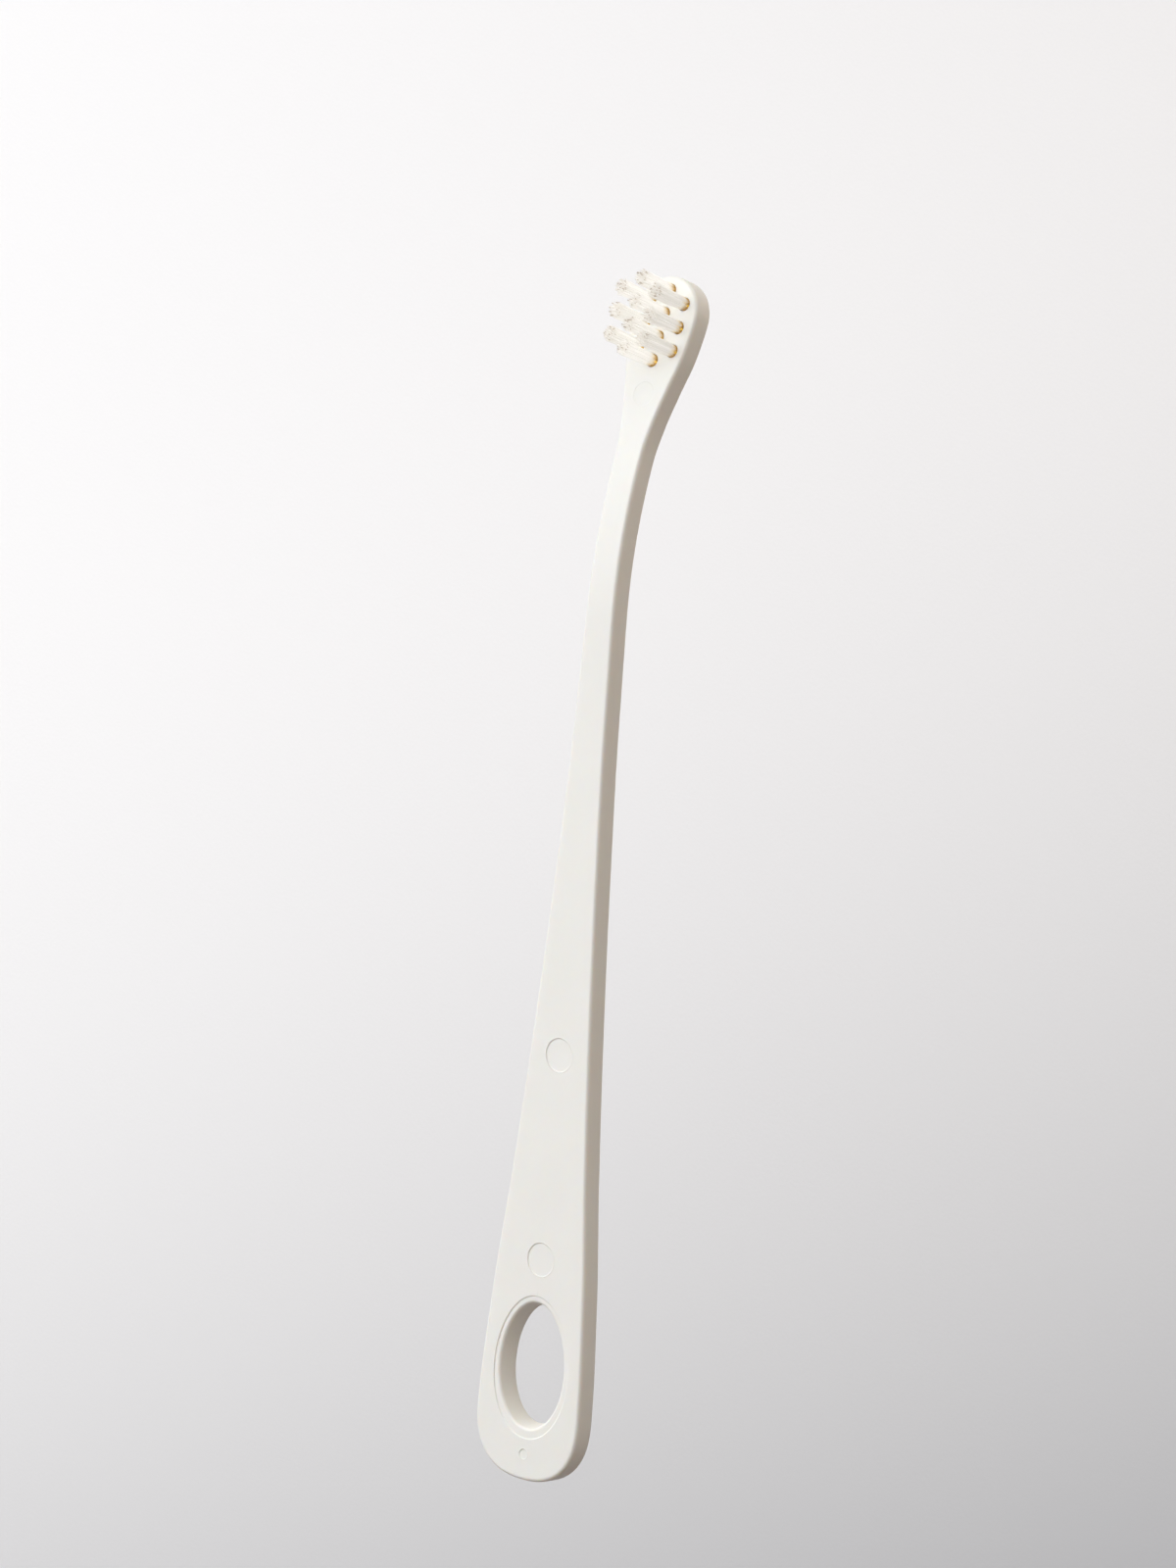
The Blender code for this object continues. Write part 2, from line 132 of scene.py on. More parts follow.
room = bpy.data.worlds.new("pale_room")
room.use_nodes = True
bpy.context.scene.world = room
tree = room.node_tree
tree.nodes.clear()
sky = add_node(tree, "ShaderNodeTexCoord")
facing = add_node(tree, "ShaderNodeVectorMath", {0: sky.outputs["Generated"], 1: room_bright_side},
                  operation="DOT_PRODUCT")
bright_part = add_node(tree, "ShaderNodeMapRange", {"Value": facing.outputs["Value"], "From Min": -1.0})
bright_share = add_node(tree, "ShaderNodeMath", {0: bright_part.outputs["Result"], 1: room_falloff},
                        operation="POWER")
room_tone = add_node(tree, "ShaderNodeMix", {"Factor": bright_share.outputs["Value"],
                                             "A": linear(room_dim),
                                             "B": linear(room_bright)}, data_type="RGBA")
lit_room = add_node(tree, "ShaderNodeBackground", {"Color": room_tone.outputs["Result"],
                                                   "Strength": room_strength})
shown_room = add_node(tree, "ShaderNodeBackground", {"Color": linear(backdrop_colour),
                                                     "Strength": 1.0})
room_mix = add_node(tree, "ShaderNodeMixShader", {0: seen_by(tree, "Is Camera Ray", "Is Transmission Ray"),
                                                  1: lit_room.outputs["Background"],
                                                  2: shown_room.outputs["Background"]})
add_node(tree, "ShaderNodeOutputWorld", {"Surface": room_mix.outputs["Shader"]})


# Floor. A wide sheet of matt paper well below the brush, which is held up as in a catalogue picture
# so that its shadow falls clear of it. Its tone fades from white to a light grey, which is painted
# shade, and the light it sends back up is painted warm, and dark brown toward the hanging end.
floor_width = 6.0                     # m
floor_squares = 24
floor_level = -0.15                   # m
floor_white = "#FEFEFF"
# Painted shade: the grey that the seen tone fades to, in place of the light's falloff
painted_falloff_grey = "#B6B8BC"
# The colour that the floor bounces up is painted: warm, and dark brown toward the hanging end as painted
# shade
painted_warm_bounce = "#FFEFD9"
painted_bounce_shade = "#3A2D20"
shade_start, shade_end = -0.15, 0.20  # m along the brush
fade_along = (1.0, 0.487, 0.0)        # pull of the fade along, across and above the brush
fade_start, fade_end = -0.13, 0.147   # m along that pull
fade_power = 2.0
paper_tooth = 0.6                     # mm between the lumps, coarser than real pulp so that they show
tooth_strength = 0.05
# Past these places, all outside the main picture, the floor passes into the pale backdrop
glow_start, glow_end = 0.34, 0.45      # m from the middle of the brush
pale_start, pale_end = -0.105, -0.17   # m along the fade, past its grey end
right_start, right_end = -0.02, -0.15  # m across the brush, on its right side
mm = 0.001


def closed_mesh(name, points, faces, merge):
    """Mesh of points and faces with its faces turned outward. Points closer than merge become one,
    and with a merge of 0 all stay."""
    mesh = bpy.data.meshes.new(name)
    mesh.from_pydata(points.tolist(), [], faces)
    bm = bmesh.new()
    bm.from_mesh(mesh)
    if merge:
        bmesh.ops.remove_doubles(bm, verts=bm.verts, dist=merge)
    bmesh.ops.recalc_face_normals(bm, faces=bm.faces)
    bm.to_mesh(mesh)
    bm.free()
    return mesh


def mesh_of_grids(name, grids, merge):
    """One mesh from several grids of points: each grid gives a four-sided face between every two
    neighbours of its rows and columns, and points closer than merge become one point."""
    points, quads, first = [], [], 0
    for grid in grids:
        rows, columns = grid.shape[:2]
        index = first + np.arange(rows * columns).reshape(rows, columns)
        corners = (index[:-1, :-1], index[1:, :-1], index[1:, 1:], index[:-1, 1:])
        quads.append(np.stack(corners, axis=-1).reshape(-1, 4))
        points.append(grid.reshape(-1, 3))
        first += rows * columns
    return closed_mesh(name, np.concatenate(points), np.concatenate(quads).tolist(), merge)


def new_piece(name, mesh):
    """Object for a finished mesh, at the origin, unturned and unscaled."""
    piece = bpy.data.objects.new(name, mesh)
    bpy.context.scene.collection.objects.link(piece)
    return piece


def new_material(name):
    """Node material with nothing in its tree yet, and that tree."""
    material = bpy.data.materials.new(name)
    material.use_nodes = True
    material.node_tree.nodes.clear()
    return material, material.node_tree


# Matt paper: no gloss, a tone that fades evenly as painted shade, and a tooth that only grazing light
# shows.
paper, tree = new_material("matt_graded_paper")
seen = seen_by(tree, "Is Camera Ray", "Is Glossy Ray", "Is Transmission Ray")
coords = add_node(tree, "ShaderNodeTexCoord")
split = add_node(tree, "ShaderNodeSeparateXYZ", {"Vector": coords.outputs["Object"]})
pull = add_node(tree, "ShaderNodeVectorMath", {0: coords.outputs["Object"], 1: fade_along},
                operation="DOT_PRODUCT")
left_over = add_node(tree, "ShaderNodeMapRange", {"Value": pull.outputs["Value"],
                                                  "From Min": fade_start, "From Max": fade_end,
                                                  "To Min": 1.0, "To Max": 0.0})
# Painted shade: the seen tone darkens to grey toward the hanging end and the brush's right
fade = add_node(tree, "ShaderNodeMath", {0: left_over.outputs["Result"], 1: fade_power},
                operation="POWER")
tone = add_node(tree, "ShaderNodeMix", {"Factor": fade.outputs["Value"], "A": linear(floor_white),
                                        "B": linear(painted_falloff_grey)}, data_type="RGBA")
# Painted bounce light: warm, and dark brown toward the hanging end as painted shade on the walls facing it
lit_share = add_node(tree, "ShaderNodeMapRange", {"Value": split.outputs["X"],
                                                  "From Min": shade_start, "From Max": shade_end},
                     interpolation_type="SMOOTHSTEP")
painted_bounce = add_node(tree, "ShaderNodeMix", {"Factor": lit_share.outputs["Result"],
                                        "A": linear(painted_bounce_shade),
                                        "B": linear(painted_warm_bounce)}, data_type="RGBA")
shown = add_node(tree, "ShaderNodeMix", {"Factor": seen, "A": painted_bounce.outputs["Result"],
                                         "B": tone.outputs["Result"]}, data_type="RGBA")
tooth = add_node(tree, "ShaderNodeTexNoise", {"Vector": coords.outputs["Object"],
                                              "Scale": 1 / (paper_tooth * mm), "Detail": 3.0})
bump = add_node(tree, "ShaderNodeBump", {"Height": tooth.outputs["Fac"], "Strength": tooth_strength,
                                         "Distance": paper_tooth * mm})
shader = add_node(tree, "ShaderNodeBsdfPrincipled", {"Base Color": shown.outputs["Result"],
                                                     "Normal": bump.outputs["Normal"],
                                                     "Roughness": 0.95, "Specular IOR Level": 0.1})
middle_distance = add_node(tree, "ShaderNodeVectorMath", {0: coords.outputs["Object"]},
                           operation="LENGTH")
far = 0.0
for place, start, end in ((middle_distance.outputs["Value"], glow_start, glow_end),
                          (pull.outputs["Value"], pale_start, pale_end),
                          (split.outputs["Y"], right_start, right_end)):
    passed = add_node(tree, "ShaderNodeMapRange", {"Value": place, "From Min": start, "From Max": end},
                      interpolation_type="SMOOTHSTEP")
    furthest = add_node(tree, "ShaderNodeMath", {0: far, 1: passed.outputs["Result"]},
                        operation="MAXIMUM")
    far = furthest.outputs["Value"]
far_seen = add_node(tree, "ShaderNodeMath", {0: far, 1: seen}, operation="MULTIPLY")
backdrop = add_node(tree, "ShaderNodeEmission", {"Color": linear(backdrop_colour), "Strength": 1.0})
sweep = add_node(tree, "ShaderNodeMixShader", {0: far_seen.outputs["Value"], 1: shader.outputs["BSDF"],
                                               2: backdrop.outputs["Emission"]})
add_node(tree, "ShaderNodeOutputMaterial", {"Surface": sweep.outputs["Shader"]})

edge = np.linspace(-floor_width / 2, floor_width / 2, floor_squares + 1)
floor_x, floor_y = np.meshgrid(edge, edge, indexing="ij")
floor_grid = np.stack((floor_x, floor_y, np.full_like(floor_x, floor_level)), axis=-1)
floor = new_piece("paper_floor", mesh_of_grids("paper_floor", [floor_grid], mm))
floor.data.materials.append(paper)


# Handle. One bar of cream-white polypropylene, injection moulded in two halves of a steel mould,
# bent back at the neck, with an egg-shaped hole to hang it by and the shallow round marks that the
# mould's ejector pins leave on its front. All its lengths are in mm.
plate_thickness = 3.1
edge_radius = 0.5
grip_length = 114.0
bend_length = 22.0
bend_angle = 15.0                     # degrees
flare_length = 14.17
end_width, neck_width = 17.5, 4.5
end_round_length, end_roundness = 8.9, 2.4
neck_place_share = 0.72
hole_length, hole_width, hole_centre = 16.7, 10.7, 15.35
hole_edge_radius, hole_draft = 0.4, 0.4
egg_narrowing = 0.05
step_length, step_width, step_centre = 19.2, 12.7, 15.1
step_depth, step_ramp = 0.11, 0.13
mark_depth, mark_ramp = 0.1, 0.12
mark_ramp_start = 0.01                # outside the rim
mark_burr, burr_place, burr_width, burr_end = 0.035, 0.04, 0.035, 0.13
mark_border = 0.14                    # from the rim to where the plain face begins
tuft_hole_diameter, tuft_hole_depth = 1.8, 2.3
first_tuft, tuft_pitch, column_spacing = 1.97, 3.15, 2.8
middle_tufts, side_tufts = 4, 3
last_row_rim, head_rim = 1.2, 1.58
anchor_turn = -12.0                   # degrees
slit_width, slit_thickness = 2.14, 0.36
slit_cover, slit_depth = 0.12, 1.8    # the plastic closes over the slit that an anchor cuts
cutter_overrun = 1.0

bend_radius = bend_length / np.radians(bend_angle)
bend_end = grip_length + bend_length
last_side_row = bend_end + flare_length
handle_length = last_side_row + (side_tufts - 0.5) * tuft_pitch + first_tuft
head_radius = column_spacing + tuft_hole_diameter / 2 + head_rim
head_centre = handle_length - head_radius
last_row_half_width = column_spacing + tuft_hole_diameter / 2 + last_row_rim

# Share of the way from the widest end to the neck, or on to the head, and the share of its width
taper_shares = ((0, 1), (0.13, 0.87), (0.26, 0.64), (0.42, 0.41), (0.59, 0.218), (0.76, 0.078), (1, 0))
flare_shares = ((0, 0), (0.3, 0.17), (0.65, 0.566), (1, 1))

# Each mark: place along the plate, diameter, depth, depth of its dish, rows of faces over it
marks = ((3.465, 1.4, mark_depth * 0.8, 0, 20), (29.53, 4.5, mark_depth, 0, 28),
         (56.77, 4.5, mark_depth, 0, 28), (144.08, 3.3, mark_depth / 4, 0.04, 24))
hole_number = 1                       # of the hanging hole, counted with the marks from the end
step_rows = 72
# Rows of faces in the plain stretch after each hole or mark, and where the last but one is divided
gap_rows = ((4,), (3,), (16,), (36, 30, 8), (16,))
gap_stops = ((), (), (), (grip_length, bend_end), ())
end_rows, tip_rows = 16, 27
round_columns = 9                     # across a rounded edge or lip
support_width, support_share = 0.12, 0.15  # narrow columns beside an edge, and their most of a row
outline_points, side_points = 900, 5000  # on each end's curve, and on the side between them
strip_columns = 6
tuft_hole_corners = 48
weld = 0.0005
sharp_angle = 35.0                    # degrees

cream_plastic = "#F4F4F0"
cream_shade = "#F0F0EB"
cloud_size = 9.0                      # mm between the clouds of the plastic's flow
skin_size, skin_height = 0.7, 0.04    # mm, coarser than the mould's real grain so that it shows


def smooth_step(t):
    """Rise from 0 to 1 that is level at both ends: t squared times (3 - 2 t)."""
    return t * t * (3 - 2 * t)


def smooth_through(places, heights, x):
    """Curve through stations that never overshoots them. Each stretch is the cubic with the
    stations' heights and slopes at its ends; a slope is the harmonic mean of the slopes of the two
    chords beside it, and level at both ends and where the chords turn."""
    run = np.diff(places)
    chord = np.diff(heights) / run
    before, after = chord[:-1], chord[1:]
    same_way = before * after > 0
    mean = 2 * before * after / np.where(same_way, before + after, 1)
    slope = np.concatenate(([0], np.where(same_way, mean, 0), [0]))
    left = np.clip(np.searchsorted(places, x, side="right") - 1, 0, len(run) - 1)
    t = np.clip((x - places[left]) / run[left], 0, 1)
    rising = smooth_step(t)
    bulge = run[left] * (slope[left] * t * (1 - t) ** 2 - slope[left + 1] * t * t * (1 - t))
    return heights[left] * (1 - rising) + heights[left + 1] * rising + bulge


def handle_outline():
    """Dense points and outward normals of the left half of the outline, from end to tip. The
    hanging end is a quarter superellipse, x = R(1 - cos^p a) and y = W sin^p a with p = 2 over the
    roundness; then come the taper and the flare through their stations, and a quarter circle."""
    widest, neck = end_width / 2, neck_width / 2
    neck_place = grip_length + bend_length * neck_place_share
    way, share = np.array(taper_shares).T
    places = [end_round_length + (neck_place - end_round_length) * way]
    halves = [neck + (widest - neck) * share]
    way, share = np.array(flare_shares).T
    places += [bend_end + flare_length * way, [head_centre]]
    halves += [neck + (last_row_half_width - neck) * share, [head_radius]]
    places, halves = np.concatenate(places), np.concatenate(halves)
    angle = np.linspace(0, np.pi / 2, outline_points)
    power = 2 / end_roundness
    middle = np.linspace(end_round_length, head_centre, side_points)[1:-1]
    x = np.concatenate((end_round_length * (1 - np.cos(angle) ** power), middle,
                        head_centre + head_radius * np.sin(angle)))
    y = np.concatenate((widest * np.sin(angle) ** power, smooth_through(places, halves, middle),
                        head_radius * np.cos(angle)))
    y[-1] = 0
    along = np.concatenate((x[1:2], x, x[-2:-1]))
    across = np.concatenate((-y[1:2], y, -y[-2:-1]))
    step = np.stack((along[2:] - along[:-2], across[2:] - across[:-2]))
    step /= np.linalg.norm(step, axis=0)
    return np.stack((x, y, -step[1], step[0]))


def round_places(start, stop, count):
    """Places from start up to stop, evenly spaced by angle round a closed curve between them:
    start + half the run times (1 - cos a)."""
    return start + (stop - start) / 2 * (1 - np.cos(np.pi * np.arange(count) / count))


def rounded(radius, count):
    """Quarter circle over an edge, from the face to the side: how far each of its points lies
    inward of the side, r (1 - sin a), and below the face, r (1 - cos a)."""
    angle = np.linspace(0, np.pi / 2, count)
    return radius * (1 - np.sin(angle)), radius * (1 - np.cos(angle))


def egg(centre, length, width, narrowing, angle):
    """Egg that is wider toward the hanging end where narrowing n is above 0: x = centre - A cos a
    and y = B sin a (1 + n cos a), with A and B half its length and width."""
    x = centre - length / 2 * np.cos(angle)
    return x, width / 2 * np.sin(angle) * (1 + narrowing * np.cos(angle))


def strip(inner, outer, depth):
    """Flat strip of rows, each from its inner to its outer point, with a narrow column at both
    ends that keeps the shading of the flat face even."""
    width = np.linalg.norm(outer - inner, axis=-1)
    narrow = np.where(width > 0, np.minimum(support_width / np.maximum(width, weld), support_share), 0)
    shares = np.linspace(0, 1, strip_columns)[None] * (1 - 2 * narrow[:, None]) + narrow[:, None]
    shares = np.concatenate((np.zeros((len(inner), 1)), shares, np.ones((len(inner), 1))), axis=1)
    flat = inner[:, None] + (outer - inner)[:, None] * shares[..., None]
    return np.concatenate((flat, np.full(flat.shape[:2] + (1,), depth)), axis=-1)


def mirrored(grid):
    """The same grid on the other side of the brush's centre line."""
    return grid * np.array((1, -1, 1))


def island(rings, count):
    """Grid of a hole or mark: a closed egg for each ring's (centre, length, width, depth,
    narrowing), with count points on each half."""
    angle = np.pi * np.arange(2 * count + 1) / count
    grid = []
    for centre, length, width, depth, narrowing in rings:
        x, y = egg(centre, length, width, narrowing, angle)
        grid.append(np.stack((x, y, np.full_like(x, depth)), axis=-1))
    return np.array(grid)


def mark_rings(place, diameter, depth, dish):
    """Rings of an ejector pin's mark: a low burr round a flat floor. Height at a radius is the
    burr's bell curve, less the depth times a smooth step inside the rim, less a dish that is a
    half cosine wide."""
    rim = diameter / 2
    out = np.array((mark_border, 0.1, 0.07, 0.045, 0.02, 0, -0.03, -0.06, -0.09, -0.12, -0.2))
    radius = np.concatenate((rim + out, np.linspace(rim - 0.3, 0, 6)))
    burr = mark_burr * depth / mark_depth * np.exp(-((radius - rim - burr_place) / burr_width) ** 2)
    drop = depth * smooth_step(np.clip((rim + mark_ramp_start - radius) / mark_ramp, 0, 1))
    dished = dish * (0.5 + 0.5 * np.cos(np.pi * np.minimum(radius / rim, 1)))
    height = np.where(radius > rim + burr_end, 0, burr - drop - dished)
    return [(place, 2 * r, 2 * r, h, 0) for r, h in zip(radius, height)]


def hanging_hole_rings():
    """Rings from the border of the shallow step, down its ramp, over the hole's rounded lip, down
    the drafted wall and round the lip at the back. A lip is a quarter circle, and the ramp a
    smooth step."""
    share = np.linspace(0, 1, 8)
    rings = [(step_centre, step_length - 2 * inward, step_width - 2 * inward, -drop, egg_narrowing)
             for inward, drop in zip(step_ramp * share, step_depth * smooth_step(share))]
    border = np.array(rings[-1])
    lip = np.array((hole_centre, hole_length + 2 * hole_edge_radius,
                    hole_width + 2 * hole_edge_radius, -step_depth, egg_narrowing))
    rings += [tuple(border + (lip - border) * way) for way in (0.1, 0.5, 0.9)]
    inward, down = rounded(hole_edge_radius, round_columns)
    wall = np.linspace(0, 1, 6)[1:-1]
    wall_top = step_depth + hole_edge_radius
    wall_run = plate_thickness - hole_edge_radius - wall_top
    growth = np.concatenate((2 * inward, -2 * hole_draft * wall, 2 * inward[::-1] - 2 * hole_draft))
    depth = np.concatenate((-step_depth - down, -wall_top - wall_run * wall,
                            down[::-1] - plate_thickness))
    return rings + [(hole_centre, hole_length + more, hole_width + more, level, egg_narrowing)
                    for more, level in zip(growth, depth)]


def flat_handle_mesh():
    """Closed surface of the handle before it is bent, front face at depth 0. Rows run across it;
    each goes from the centre line or the border of a hole or mark to the outline, round the edge
    and back to the centre line at the back."""
    islands = [(place, diameter + 2 * mark_border, count) for place, diameter, _, _, count in marks]
    islands.insert(hole_number, (step_centre, step_length, step_rows))
    starts = [centre - length / 2 for centre, length, _ in islands] + [head_centre]
    quarter = np.linspace(0, np.pi / 2, end_rows + 1)[:-1]
    rows = [edge_radius + (starts[0] - edge_radius) * (1 - np.cos(quarter))]
    for (centre, length, count), start, following, stops, steps in zip(islands, starts, starts[1:],
                                                                       gap_stops, gap_rows):
        stop = centre + length / 2
        rows.append(round_places(start, stop, count))
        knots = [stop, *stops, following]
        rows += [np.linspace(low, high, step, endpoint=False)
                 for low, high, step in zip(knots, knots[1:], steps)]
    quarter = np.linspace(0, np.pi / 2, tip_rows)
    rows.append(head_centre + (handle_length - edge_radius - head_centre) * np.sin(quarter))
    rows = np.concatenate(rows)

    outline = handle_outline()
    index = np.arange(outline.shape[1])
    station = np.interp(rows, outline[0] - edge_radius * outline[2], index)
    x, y, normal_x, normal_y = (np.interp(station, index, line) for line in outline)
    y[[0, -1]] = 0
    normal_y[[0, -1]] = 0
    inset = np.stack((x - edge_radius * normal_x, y - edge_radius * normal_y), axis=-1)

    front = np.stack((rows, np.zeros_like(rows)), axis=-1)
    back = front.copy()
    for number, (centre, length, count) in enumerate(islands):
        inside = np.abs(rows - centre) < length / 2 + weld
        angle = np.pi * np.arange(count + 1) / count
        width, narrowing = (step_width, egg_narrowing) if number == hole_number else (length, 0)
        front[inside] = np.stack(egg(centre, length, width, narrowing, angle), axis=-1)
        if number == hole_number:
            growth = 2 * (hole_edge_radius - hole_draft)
            back[inside] = np.stack(egg(hole_centre, hole_length + growth, hole_width + growth,
                                        egg_narrowing, angle), axis=-1)
    front[:, 1] = np.abs(front[:, 1])
    back[:, 1] = np.abs(back[:, 1])

    inward, down = rounded(edge_radius, round_columns)
    wall = np.linspace(edge_radius, plate_thickness - edge_radius, 5)[1:-1]
    inward = np.concatenate((inward, 0 * wall, inward[::-1]))
    down = np.concatenate((down, wall, plate_thickness - down[::-1]))
    edge = np.stack((x[:, None] - inward * normal_x[:, None], y[:, None] - inward * normal_y[:, None],
                     np.broadcast_to(-down, (len(x), len(down)))), axis=-1)
    half = [strip(front, inset, 0.0), edge, strip(back, inset, -plate_thickness)]
    grids = half + [mirrored(grid) for grid in half]
    grids.append(island(hanging_hole_rings(), step_rows))
    grids += [island(mark_rings(*mark), count) for *mark, count in marks]
    return mesh_of_grids("handle_flat", grids, weld)


def tuft_holes_mesh():
    """Ten blind tuft holes, each a circle joined with the slit that its anchor has cut into the
    wall: the radius at an angle is the larger of the circle's and the slit's, and above and below
    the slit only the circle's. Rings of it at each depth close at a pole above and below."""
    radius = tuft_hole_diameter / 2
    half_w, half_t = slit_width / 2, slit_thickness / 2
    corner, crossing = np.arctan2(half_t, half_w), np.arcsin(half_t / radius)
    angle = np.linspace(0, 2 * np.pi, tuft_hole_corners + 1)
    special = [side * np.pi + sign * turn for side in (0, 1, 2) for sign in (-1, 1)
               for turn in (corner, crossing)]
    angle = np.unique(np.concatenate((angle, [a for a in special if 0 <= a <= 2 * np.pi])))
    slit = np.minimum(half_w / np.maximum(np.abs(np.cos(angle)), weld),
                      half_t / np.maximum(np.abs(np.sin(angle)), weld))
    reach = {"pole": 0 * angle, "circle": np.full_like(angle, radius),
             "keyhole": np.maximum(radius, slit)}
    levels = (("pole", cutter_overrun), ("circle", cutter_overrun), ("circle", -slit_cover),
              ("keyhole", -slit_cover), ("keyhole", -slit_depth), ("circle", -slit_depth),
              ("circle", -tuft_hole_depth), ("pole", -tuft_hole_depth))
    turned = angle + np.pi / 2 + np.radians(anchor_turn)
    hole = np.stack([np.stack((reach[kind] * np.cos(turned), reach[kind] * np.sin(turned),
                               np.full_like(angle, depth)), axis=-1) for kind, depth in levels])
    return mesh_of_grids("tuft_holes", [hole + np.array((*place, 0)) for place in tuft_places.values()],
                         weld)


def resting(points):
    """Where a point of the flat handle lies on the finished brush, in metres. The place along it
    turns with an arc of the bend's radius R through the bend: x = R sin a, z = -R (1 - cos a), then
    straight on; depth goes along the turned normal; and the whole is tilted to rest on z = 0."""
    place, across, depth = np.moveaxis(np.asarray(points, dtype=float), -1, 0)
    turned = np.clip(place - grip_length, 0, bend_length) / bend_radius
    beyond = np.maximum(place - bend_end, 0)
    x = np.minimum(place, grip_length) + bend_radius * np.sin(turned) + beyond * np.cos(turned)
    z = -bend_radius * (1 - np.cos(turned)) - beyond * np.sin(turned)
    x, z = x + depth * np.sin(turned), z + depth * np.cos(turned)
    cos, sin = np.cos(rest_tilt), np.sin(rest_tilt)
    tilted = np.stack((x * cos - z * sin, across, x * sin + z * cos), axis=-1)
    return (tilted + rest_shift) * mm


# Place of each tuft along and across the flat plate, counted from the tip
tuft_places = {f"middle_{row + 1}": (handle_length - first_tuft - row * tuft_pitch, 0.0)
               for row in range(middle_tufts)}
for side, across in (("left", column_spacing), ("right", -column_spacing)):
    for row in range(side_tufts):
        tuft_places[f"{side}_{row + 1}"] = (handle_length - first_tuft - (row + 0.5) * tuft_pitch, across)

# The brush lies on the lower edges of its two ends, and its box starts where the CAD handle's does
rest_tilt, rest_shift = 0.0, np.zeros(3)
lower = -(plate_thickness - edge_radius)
end_low, tip_low = resting(((edge_radius, 0, lower), (handle_length - edge_radius, 0, lower))) / mm
rest_tilt = np.arctan2(end_low[2] - tip_low[2], tip_low[0] - end_low[0])

blank = new_piece("handle_blank", flat_handle_mesh())
drill = new_piece("tuft_drill", tuft_holes_mesh())
drilling = blank.modifiers.new("tuft_holes", "BOOLEAN")
drilling.solver = "EXACT"
drilling.object = drill
bpy.context.view_layer.update()
drilled = blank.evaluated_get(bpy.context.evaluated_depsgraph_get())
handle_mesh = bpy.data.meshes.new_from_object(drilled)
handle_mesh.name = "moulded_handle"
bpy.data.objects.remove(blank)
bpy.data.objects.remove(drill)

flat_points = np.empty(len(handle_mesh.vertices) * 3)
handle_mesh.vertices.foreach_get("co", flat_points)
flat_points = flat_points.reshape(-1, 3)
rest_shift = np.array(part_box("handle")[0]) / mm - resting(flat_points).min(axis=0) / mm
handle_mesh.vertices.foreach_set("co", resting(flat_points).ravel())
handle_mesh.update()
handle_mesh.shade_smooth()
handle_mesh.set_sharp_from_angle(angle=np.radians(sharp_angle))

# Semi-gloss moulded polypropylene: a soft broad sheen with no sharp reflection, a faint cloudiness
# from the flow of the plastic, and light that soaks in and comes out warmer at edges and in shade.
moulded, tree = new_material("moulded_cream_polypropylene")
coords = add_node(tree, "ShaderNodeTexCoord")
cloud = add_node(tree, "ShaderNodeTexNoise", {"Vector": coords.outputs["Object"],
                                              "Scale": 1 / (cloud_size * mm),
                                              "Detail": 4.0, "Roughness": 0.6})
tone = add_node(tree, "ShaderNodeMix", {"Factor": cloud.outputs["Fac"], "A": linear(cream_shade),
                                        "B": linear(cream_plastic)}, data_type="RGBA")
skin = add_node(tree, "ShaderNodeTexNoise", {"Vector": coords.outputs["Object"],
                                             "Scale": 1 / (skin_size * mm),
                                             "Detail": 3.0, "Roughness": 0.55})
rough = add_node(tree, "ShaderNodeMapRange", {"Value": skin.outputs["Fac"], "To Min": 0.36,
                                              "To Max": 0.46})
bump = add_node(tree, "ShaderNodeBump", {"Height": skin.outputs["Fac"], "Strength": 0.12,
                                         "Distance": skin_height * mm})
shader = add_node(tree, "ShaderNodeBsdfPrincipled", {"Base Color": tone.outputs["Result"],
                                                     "Roughness": rough.outputs["Result"],
                                                     "Normal": bump.outputs["Normal"], "IOR": 1.49,
                                                     "Subsurface Weight": 0.35,
                                                     "Subsurface Radius": (1.0, 0.78, 0.58),
                                                     "Subsurface Scale": 0.9 * mm})
add_node(tree, "ShaderNodeOutputMaterial", {"Surface": shader.outputs["BSDF"]})

handle = new_piece("moulded_handle", handle_mesh)
handle.data.materials.clear()
handle.data.materials.append(moulded)
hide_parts("handle")
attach(handle, "root")


# Tufts. Each is a bundle of clear nylon filament, folded over its anchor and driven into its hole,
# then trimmed level and end-rounded, so that it stands a little splayed and uneven. All its lengths
# are in mm.
strand_count = 110                    # fewer and thicker than real ones, too fine to show here
strand_diameter = 0.118
strand_spacing = 0.147
strand_jitter = 0.01
strand_sides = 6
lattice_reach = 8                     # steps of the lattice to each side, more than a bundle needs
bristle_length = 6.5
tip_unevenness = 0.25
tip_splay = 1.28
tip_wander, middle_bow = 0.07, 0.035
wander_power = 1.6                    # the wander grows with this power of the height
anchor_gap = 0.27                     # from the middle of the anchor to the nearest strands
fold_level, fold_depth, fold_bend = -1.86, 0.3, 0.06
fold_middle, fold_flank = 0.03, 0.72  # from the middle under the anchor; share of it just above
held_levels = (-1.3, -0.3)
free_levels = (0.5, 2.3, 4.4)
tip_rounding = ((0.06, 1.0), (0.015, 0.72), (0.0, 0.0))  # below the tip, share of the radius there
strand_seed = 11

nylon_white = "#FFFDFB"
nylon_grey = "#F6F4F0"
# Painted reflection of the brass anchor in the clear strands: its bright and dark gold, and a pale haze
painted_brass_bright = "#ECD184"
painted_brass_dark = "#D4B36A"
painted_brass_haze = "#F1E3C3"
cut_tan = "#F7F4EF"
cut_dark = "#D3C9BE"
painted_haze_reach = (0.7, 1.8)               # mm above the face in the strands with the least and the most
painted_glow_reach = (0.3, 0.75)
tan_start, dark_start = 5.7, 6.15     # mm above the face
tan_numbers = (0.3, 0.7)              # cut numbers of the strands with no tan and with all of it
dark_number = 0.82                    # cut number above which a strand's end is dark
painted_brass_shuffle, cut_shuffle = 5.7, 7.3


